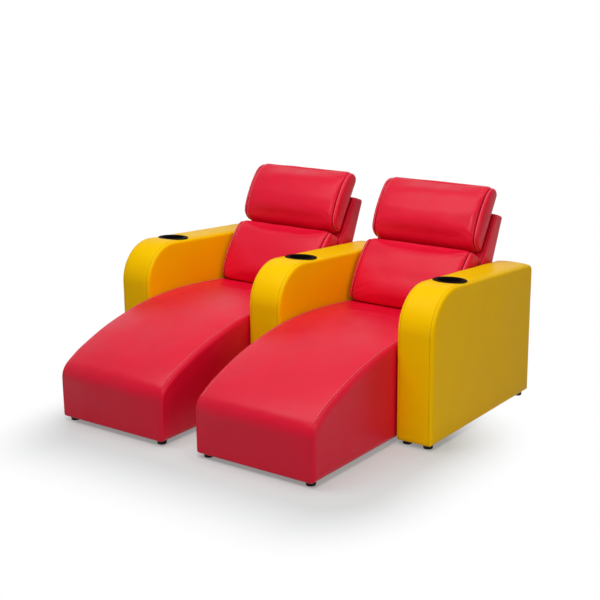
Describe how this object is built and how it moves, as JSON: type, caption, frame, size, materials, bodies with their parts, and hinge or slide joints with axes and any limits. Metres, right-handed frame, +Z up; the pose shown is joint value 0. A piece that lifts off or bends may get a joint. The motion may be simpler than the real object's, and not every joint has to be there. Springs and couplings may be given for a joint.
{
  "type": "cinema chaise lounger row",
  "caption": "Row of chaise-style cinema loungers between shared padded arms with cup holders; the backs recline and the headrests tilt.",
  "frame": {"origin": "on the floor, under the middle of the whole row's box", "axes": "+Z is up, +X runs along the row to the sitters' left, and the people sit facing -Y"},
  "size_m": [1.605, 1.4322, 0.902],
  "materials": {
    "red_leatherette": "satin",
    "yellow_leatherette": "satin",
    "cup_plastic": "satin",
    "foot_plastic": "matte",
    "plywood": "matte",
    "hinge_steel": "satin"
  },
  "bodies": {
    "row": {"left_arm_cover": "yellow_leatherette", "left_arm_frame": "plywood", "left_arm_cup_holder": "cup_plastic", "left_arm_foot_front_left": "foot_plastic", "left_arm_foot_front_right": "foot_plastic", "left_arm_foot_rear_left": "foot_plastic", "left_arm_foot_rear_right": "foot_plastic", "centre_arm_cover": "yellow_leatherette", "centre_arm_frame": "plywood", "centre_arm_cup_holder": "cup_plastic", "centre_arm_foot_front_left": "foot_plastic", "centre_arm_foot_front_right": "foot_plastic", "centre_arm_foot_rear_left": "foot_plastic", "centre_arm_foot_rear_right": "foot_plastic", "right_arm_cover": "yellow_leatherette", "right_arm_frame": "plywood", "right_arm_cup_holder": "cup_plastic", "right_arm_foot_front_left": "foot_plastic", "right_arm_foot_front_right": "foot_plastic", "right_arm_foot_rear_left": "foot_plastic", "right_arm_foot_rear_right": "foot_plastic", "left_seat_pad": "red_leatherette", "left_side_cover_left": "red_leatherette", "left_side_cover_right": "red_leatherette", "left_rear_panel": "red_leatherette", "left_seat_deck": "plywood", "left_side_board_left": "plywood", "left_side_board_right": "plywood", "left_front_board": "plywood", "left_foot_left": "foot_plastic", "left_foot_right": "foot_plastic", "left_fixed_leaf_left": "hinge_steel", "left_fixed_leaf_right": "hinge_steel", "right_seat_pad": "red_leatherette", "right_side_cover_left": "red_leatherette", "right_side_cover_right": "red_leatherette", "right_rear_panel": "red_leatherette", "right_seat_deck": "plywood", "right_side_board_left": "plywood", "right_side_board_right": "plywood", "right_front_board": "plywood", "right_foot_left": "foot_plastic", "right_foot_right": "foot_plastic", "right_fixed_leaf_left": "hinge_steel", "right_fixed_leaf_right": "hinge_steel", "rear_tie_bar": "hinge_steel"},
    "left_back": {"left_back_shell": "red_leatherette", "left_lumbar_cushion": "red_leatherette", "left_headrest_bracket": "hinge_steel", "left_moving_leaf_left": "hinge_steel", "left_moving_leaf_right": "hinge_steel"},
    "left_headrest": {"left_headrest_cushion": "red_leatherette", "left_headrest_plate": "hinge_steel"},
    "right_back": {"right_back_shell": "red_leatherette", "right_lumbar_cushion": "red_leatherette", "right_headrest_bracket": "hinge_steel", "right_moving_leaf_left": "hinge_steel", "right_moving_leaf_right": "hinge_steel"},
    "right_headrest": {"right_headrest_cushion": "red_leatherette", "right_headrest_plate": "hinge_steel"}
  },
  "joints": [
    {"name": "left_back_recline", "type": "hinge", "parent": "row", "child": "left_back", "pos_m": [-0.36, 0.43599, 0.35], "axis": [-1, 0, 0], "range_deg": [0, 20]},
    {"name": "left_headrest_tilt", "type": "hinge", "parent": "left_back", "child": "left_headrest", "pos_m": [-0.36, 0.53399, 0.647], "axis": [1, 0, 0], "range_deg": [0, 30]},
    {"name": "right_back_recline", "type": "hinge", "parent": "row", "child": "right_back", "pos_m": [0.36, 0.43599, 0.35], "axis": [-1, 0, 0], "range_deg": [0, 20]},
    {"name": "right_headrest_tilt", "type": "hinge", "parent": "right_back", "child": "right_headrest", "pos_m": [0.36, 0.53399, 0.647], "axis": [1, 0, 0], "range_deg": [0, 30]}
  ]
}
